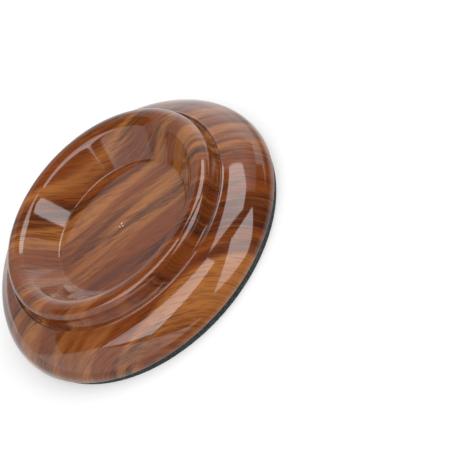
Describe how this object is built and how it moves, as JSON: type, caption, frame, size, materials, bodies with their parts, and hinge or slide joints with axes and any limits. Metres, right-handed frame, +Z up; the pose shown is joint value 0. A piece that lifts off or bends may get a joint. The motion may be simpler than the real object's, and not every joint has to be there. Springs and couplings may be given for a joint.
{
  "type": "castor cup",
  "caption": "Round castor cup with a dished top, rounded rim and domed skirt, wood-grain gloss finish, on a glued foam pad that keeps a furniture castor from marking the floor.",
  "frame": {"origin": "centre of the foam pad's underside, on the floor", "axes": "+Z up along the axis of revolution, out of the dish; the cup is round, so X and Y are free"},
  "size_m": [0.11, 0.11, 0.0234],
  "materials": {
    "wood_grain_gloss": "moulded plastic with a brown wood-grain film under clear gloss lacquer",
    "black_foam": "matt closed-cell foam sheet"
  },
  "bodies": {
    "root": {"cup": "wood_grain_gloss", "foam_pad": "black_foam"}
  },
  "joints": []
}
